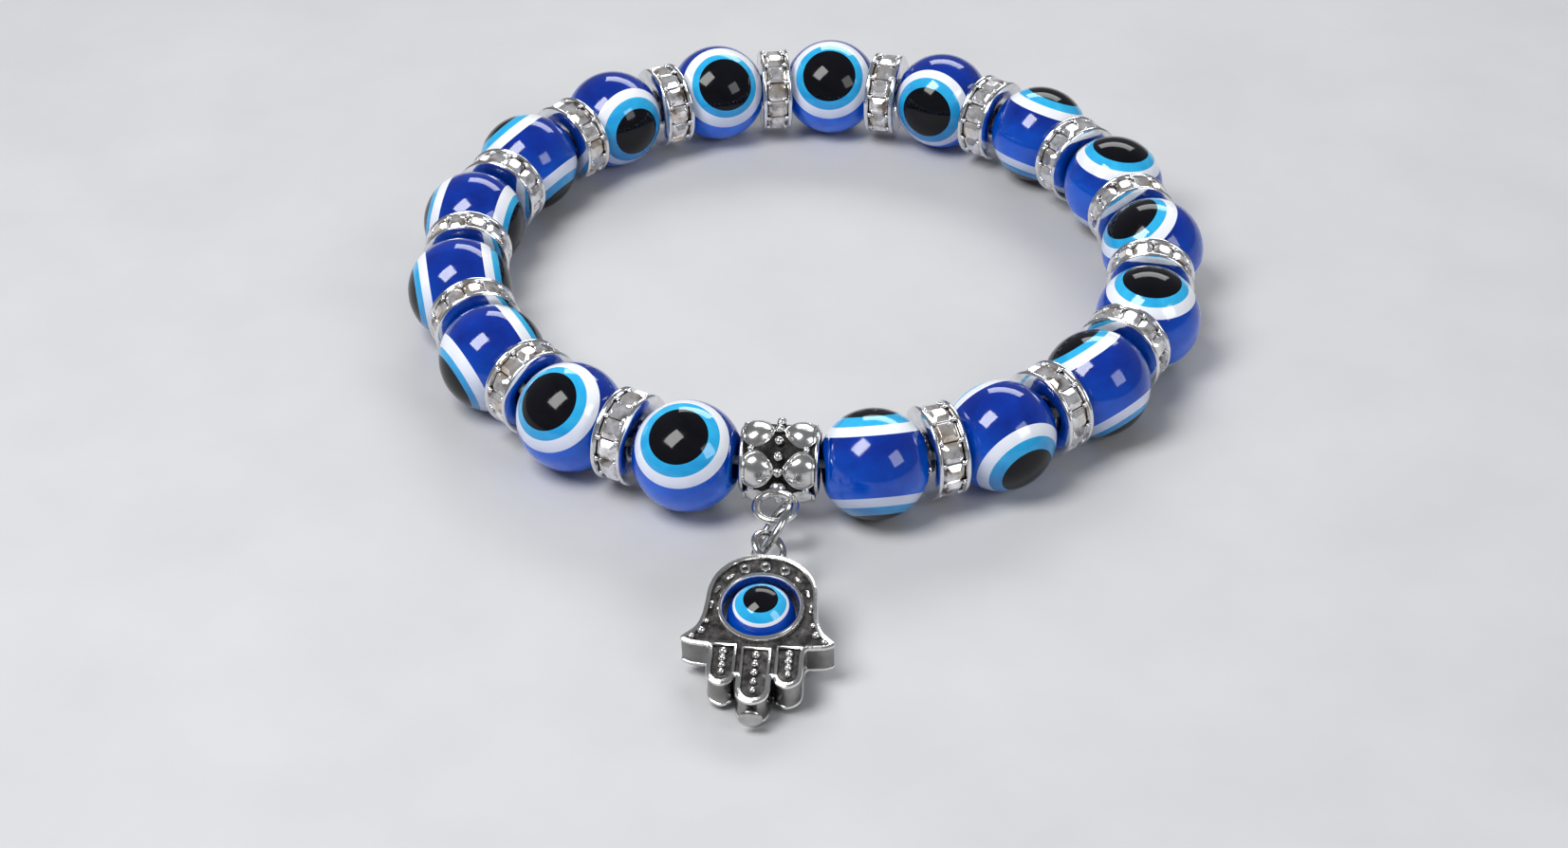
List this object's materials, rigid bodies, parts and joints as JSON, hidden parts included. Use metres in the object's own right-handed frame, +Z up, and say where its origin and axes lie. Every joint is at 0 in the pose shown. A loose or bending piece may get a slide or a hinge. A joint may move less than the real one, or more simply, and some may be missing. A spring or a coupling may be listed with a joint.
{
  "type": "beaded charm bracelet",
  "caption": "Elastic stretch bracelet of round two-eyed resin beads and stone-set ring spacers, with a hamsa charm on a cast bail bead",
  "frame": {"origin": "centre of the bounding box, on the surface that the bracelet lies on", "axes": "+Z is up, out of the loop of beads; -Y points from the loop to the charm; +X is to the right with the charm to the front"},
  "size_m": [0.0772, 0.1023, 0.01],
  "materials": {
    "bead_resin": "polished translucent cobalt resin with laminated white, turquoise and black caps",
    "spacer_silver": "bright silver plate",
    "spacer_stone": "cut clear stones, foil backed",
    "antique_silver": "antique silver plate, dark patina in the recesses",
    "wire_silver": "plain plated wire",
    "cord_elastic": "clear elastic cord"
  },
  "bodies": {
    "elastic_cord": {"elastic_cord": "cord_elastic"},
    "bead_01": {"bead_01": "bead_resin"},
    "bead_02": {"bead_02": "bead_resin"},
    "bead_03": {"bead_03": "bead_resin"},
    "bead_04": {"bead_04": "bead_resin"},
    "bead_05": {"bead_05": "bead_resin"},
    "bead_06": {"bead_06": "bead_resin"},
    "bead_07": {"bead_07": "bead_resin"},
    "bead_08": {"bead_08": "bead_resin"},
    "bead_09": {"bead_09": "bead_resin"},
    "bead_10": {"bead_10": "bead_resin"},
    "bead_11": {"bead_11": "bead_resin"},
    "bead_12": {"bead_12": "bead_resin"},
    "bead_13": {"bead_13": "bead_resin"},
    "bead_14": {"bead_14": "bead_resin"},
    "bead_15": {"bead_15": "bead_resin"},
    "bead_16": {"bead_16": "bead_resin"},
    "bead_17": {"bead_17": "bead_resin"},
    "spacer_01": {"spacer_01_rim": "spacer_silver", "spacer_01_stones": "spacer_stone"},
    "spacer_02": {"spacer_02_rim": "spacer_silver", "spacer_02_stones": "spacer_stone"},
    "spacer_03": {"spacer_03_rim": "spacer_silver", "spacer_03_stones": "spacer_stone"},
    "spacer_04": {"spacer_04_rim": "spacer_silver", "spacer_04_stones": "spacer_stone"},
    "spacer_05": {"spacer_05_rim": "spacer_silver", "spacer_05_stones": "spacer_stone"},
    "spacer_06": {"spacer_06_rim": "spacer_silver", "spacer_06_stones": "spacer_stone"},
    "spacer_07": {"spacer_07_rim": "spacer_silver", "spacer_07_stones": "spacer_stone"},
    "spacer_08": {"spacer_08_rim": "spacer_silver", "spacer_08_stones": "spacer_stone"},
    "spacer_09": {"spacer_09_rim": "spacer_silver", "spacer_09_stones": "spacer_stone"},
    "spacer_10": {"spacer_10_rim": "spacer_silver", "spacer_10_stones": "spacer_stone"},
    "spacer_11": {"spacer_11_rim": "spacer_silver", "spacer_11_stones": "spacer_stone"},
    "spacer_12": {"spacer_12_rim": "spacer_silver", "spacer_12_stones": "spacer_stone"},
    "spacer_13": {"spacer_13_rim": "spacer_silver", "spacer_13_stones": "spacer_stone"},
    "spacer_14": {"spacer_14_rim": "spacer_silver", "spacer_14_stones": "spacer_stone"},
    "spacer_15": {"spacer_15_rim": "spacer_silver", "spacer_15_stones": "spacer_stone"},
    "spacer_16": {"spacer_16_rim": "spacer_silver", "spacer_16_stones": "spacer_stone"},
    "bail": {"bail": "antique_silver"},
    "jump_ring": {"jump_ring": "wire_silver"},
    "headpin": {"headpin": "wire_silver"},
    "hamsa_frame": {"hamsa_frame": "antique_silver"},
    "charm_eye_bead": {"charm_eye_bead": "bead_resin"}
  },
  "joints": [
    {"name": "spacer_01_flex", "type": "hinge", "parent": "elastic_cord", "child": "spacer_01", "pos_m": [-0.0083, -0.02066, 0.005], "axis": [0, 0, -1], "range_deg": [-6, 7], "deforming": ["elastic_cord"]},
    {"name": "spacer_02_flex", "type": "hinge", "parent": "spacer_01", "child": "spacer_02", "pos_m": [-0.0194, -0.0156, 0.005], "axis": [0, 0, -1], "range_deg": [-2.09, 2.42]},
    {"name": "spacer_03_flex", "type": "hinge", "parent": "spacer_02", "child": "spacer_03", "pos_m": [-0.02799, -0.00694, 0.005], "axis": [0, 0, -1], "range_deg": [-2.5, 2.17]},
    {"name": "spacer_04_flex", "type": "hinge", "parent": "spacer_03", "child": "spacer_04", "pos_m": [-0.03296, 0.0042, 0.005], "axis": [0, 0, -1], "range_deg": [-6.09, 5.26]},
    {"name": "spacer_05_flex", "type": "hinge", "parent": "spacer_04", "child": "spacer_05", "pos_m": [-0.03365, 0.01638, 0.005], "axis": [0, 0, -1], "range_deg": [-6.65, 5.74]},
    {"name": "spacer_06_flex", "type": "hinge", "parent": "spacer_05", "child": "spacer_06", "pos_m": [-0.02999, 0.02802, 0.005], "axis": [0, 0, -1], "range_deg": [-3.9, 3.37]},
    {"name": "spacer_07_flex", "type": "hinge", "parent": "spacer_06", "child": "spacer_07", "pos_m": [-0.02245, 0.03761, 0.005], "axis": [0, 0, -1], "range_deg": [-0.77, 0.88]},
    {"name": "spacer_08_flex", "type": "hinge", "parent": "spacer_07", "child": "spacer_08", "pos_m": [-0.012, 0.04391, 0.005], "axis": [0, 0, -1], "range_deg": [-4.44, 5.14]},
    {"name": "spacer_16_flex", "type": "hinge", "parent": "elastic_cord", "child": "spacer_16", "pos_m": [0.0083, -0.02066, 0.005], "axis": [0, 0, 1], "range_deg": [-6.31, 7.31]},
    {"name": "spacer_15_flex", "type": "hinge", "parent": "spacer_16", "child": "spacer_15", "pos_m": [0.0194, -0.0156, 0.005], "axis": [0, 0, 1], "range_deg": [-2.09, 2.42]},
    {"name": "spacer_14_flex", "type": "hinge", "parent": "spacer_15", "child": "spacer_14", "pos_m": [0.02799, -0.00694, 0.005], "axis": [0, 0, 1], "range_deg": [-2.5, 2.17]},
    {"name": "spacer_13_flex", "type": "hinge", "parent": "spacer_14", "child": "spacer_13", "pos_m": [0.03296, 0.0042, 0.005], "axis": [0, 0, 1], "range_deg": [-6.09, 5.26]},
    {"name": "spacer_12_flex", "type": "hinge", "parent": "spacer_13", "child": "spacer_12", "pos_m": [0.03365, 0.01638, 0.005], "axis": [0, 0, 1], "range_deg": [-6.65, 5.74]},
    {"name": "spacer_11_flex", "type": "hinge", "parent": "spacer_12", "child": "spacer_11", "pos_m": [0.02999, 0.02802, 0.005], "axis": [0, 0, 1], "range_deg": [-3.9, 3.37]},
    {"name": "spacer_10_flex", "type": "hinge", "parent": "spacer_11", "child": "spacer_10", "pos_m": [0.02245, 0.03761, 0.005], "axis": [0, 0, 1], "range_deg": [-0.77, 0.88]},
    {"name": "spacer_09_flex", "type": "hinge", "parent": "spacer_10", "child": "spacer_09", "pos_m": [0.012, 0.04391, 0.005], "axis": [0, 0, 1], "range_deg": [-4.44, 5.14]},
    {"name": "bead_01_spin", "type": "hinge", "parent": "elastic_cord", "child": "bead_01", "pos_m": [-0.0083, -0.02066, 0.005], "axis": [-0.9772, 0.2121, 0], "continuous": true},
    {"name": "bead_02_spin", "type": "hinge", "parent": "spacer_01", "child": "bead_02", "pos_m": [-0.0194, -0.0156, 0.005], "axis": [-0.8205, 0.5717, 0], "continuous": true},
    {"name": "bead_03_spin", "type": "hinge", "parent": "spacer_02", "child": "bead_03", "pos_m": [-0.02799, -0.00694, 0.005], "axis": [-0.5648, 0.8253, 0], "continuous": true},
    {"name": "bead_04_spin", "type": "hinge", "parent": "spacer_03", "child": "bead_04", "pos_m": [-0.03296, 0.0042, 0.005], "axis": [-0.2359, 0.9718, 0], "continuous": true},
    {"name": "bead_05_spin", "type": "hinge", "parent": "spacer_04", "child": "bead_05", "pos_m": [-0.03365, 0.01638, 0.005], "axis": [0.1235, 0.9923, 0], "continuous": true},
    {"name": "bead_06_spin", "type": "hinge", "parent": "spacer_05", "child": "bead_06", "pos_m": [-0.02999, 0.02802, 0.005], "axis": [0.4668, 0.8844, 0], "continuous": true},
    {"name": "bead_07_spin", "type": "hinge", "parent": "spacer_06", "child": "bead_07", "pos_m": [-0.02245, 0.03761, 0.005], "axis": [0.7496, 0.6619, 0], "continuous": true},
    {"name": "bead_08_spin", "type": "hinge", "parent": "spacer_07", "child": "bead_08", "pos_m": [-0.012, 0.04391, 0.005], "axis": [0.9353, 0.3538, 0], "continuous": true},
    {"name": "bead_09_spin", "type": "hinge", "parent": "spacer_08", "child": "bead_09", "pos_m": [0, 0.0461, 0.005], "axis": [1, 0, 0], "continuous": true},
    {"name": "bead_10_spin", "type": "hinge", "parent": "spacer_10", "child": "bead_10", "pos_m": [0.012, 0.04391, 0.005], "axis": [0.9353, -0.3538, 0], "continuous": true},
    {"name": "bead_11_spin", "type": "hinge", "parent": "spacer_11", "child": "bead_11", "pos_m": [0.02245, 0.03761, 0.005], "axis": [0.7496, -0.6619, 0], "continuous": true},
    {"name": "bead_12_spin", "type": "hinge", "parent": "spacer_12", "child": "bead_12", "pos_m": [0.02999, 0.02802, 0.005], "axis": [0.4668, -0.8844, 0], "continuous": true},
    {"name": "bead_13_spin", "type": "hinge", "parent": "spacer_13", "child": "bead_13", "pos_m": [0.03365, 0.01638, 0.005], "axis": [0.1235, -0.9923, 0], "continuous": true},
    {"name": "bead_14_spin", "type": "hinge", "parent": "spacer_14", "child": "bead_14", "pos_m": [0.03296, 0.0042, 0.005], "axis": [-0.2359, -0.9718, 0], "continuous": true},
    {"name": "bead_15_spin", "type": "hinge", "parent": "spacer_15", "child": "bead_15", "pos_m": [0.02799, -0.00694, 0.005], "axis": [-0.5648, -0.8253, 0], "continuous": true},
    {"name": "bead_16_spin", "type": "hinge", "parent": "spacer_16", "child": "bead_16", "pos_m": [0.0194, -0.0156, 0.005], "axis": [-0.8205, -0.5717, 0], "continuous": true},
    {"name": "bead_17_spin", "type": "hinge", "parent": "elastic_cord", "child": "bead_17", "pos_m": [0.0083, -0.02066, 0.005], "axis": [-0.9772, -0.2121, 0], "continuous": true},
    {"name": "bail_spin", "type": "hinge", "parent": "elastic_cord", "child": "bail", "pos_m": [0, -0.02066, 0.005], "axis": [-1, 0, 0], "continuous": true},
    {"name": "jump_ring_swing", "type": "hinge", "parent": "bail", "child": "jump_ring", "pos_m": [0, -0.02787, 0.00373], "axis": [1, 0, 0], "range_deg": [-55, 80]},
    {"name": "headpin_swing", "type": "hinge", "parent": "jump_ring", "child": "headpin", "pos_m": [0, -0.03249, 0.00497], "axis": [0.5299, 0.2195, 0.8192], "range_deg": [-50, 50]},
    {"name": "hamsa_turn", "type": "hinge", "parent": "headpin", "child": "hamsa_frame", "pos_m": [0, -0.04054, 0.00344], "axis": [0, -0.9825, -0.1862], "continuous": true},
    {"name": "charm_eye_bead_spin", "type": "hinge", "parent": "headpin", "child": "charm_eye_bead", "pos_m": [0, -0.04054, 0.00344], "axis": [0, -0.9825, -0.1862], "continuous": true}
  ],
  "couplings": [
    {"joint": "spacer_02_flex", "follows": "spacer_01_flex", "ratio": 0.32649},
    {"joint": "spacer_03_flex", "follows": "spacer_01_flex", "ratio": -0.3378},
    {"joint": "spacer_04_flex", "follows": "spacer_01_flex", "ratio": -0.83244},
    {"joint": "spacer_05_flex", "follows": "spacer_01_flex", "ratio": -0.90953},
    {"joint": "spacer_06_flex", "follows": "spacer_01_flex", "ratio": -0.53058},
    {"joint": "spacer_07_flex", "follows": "spacer_01_flex", "ratio": 0.11422},
    {"joint": "spacer_08_flex", "follows": "spacer_01_flex", "ratio": 0.70141},
    {"joint": "spacer_16_flex", "follows": "spacer_01_flex", "ratio": 1},
    {"joint": "spacer_15_flex", "follows": "spacer_01_flex", "ratio": 0.32649},
    {"joint": "spacer_14_flex", "follows": "spacer_01_flex", "ratio": -0.3378},
    {"joint": "spacer_13_flex", "follows": "spacer_01_flex", "ratio": -0.83244},
    {"joint": "spacer_12_flex", "follows": "spacer_01_flex", "ratio": -0.90953},
    {"joint": "spacer_11_flex", "follows": "spacer_01_flex", "ratio": -0.53058},
    {"joint": "spacer_10_flex", "follows": "spacer_01_flex", "ratio": 0.11422},
    {"joint": "spacer_09_flex", "follows": "spacer_01_flex", "ratio": 0.70141}
  ]
}
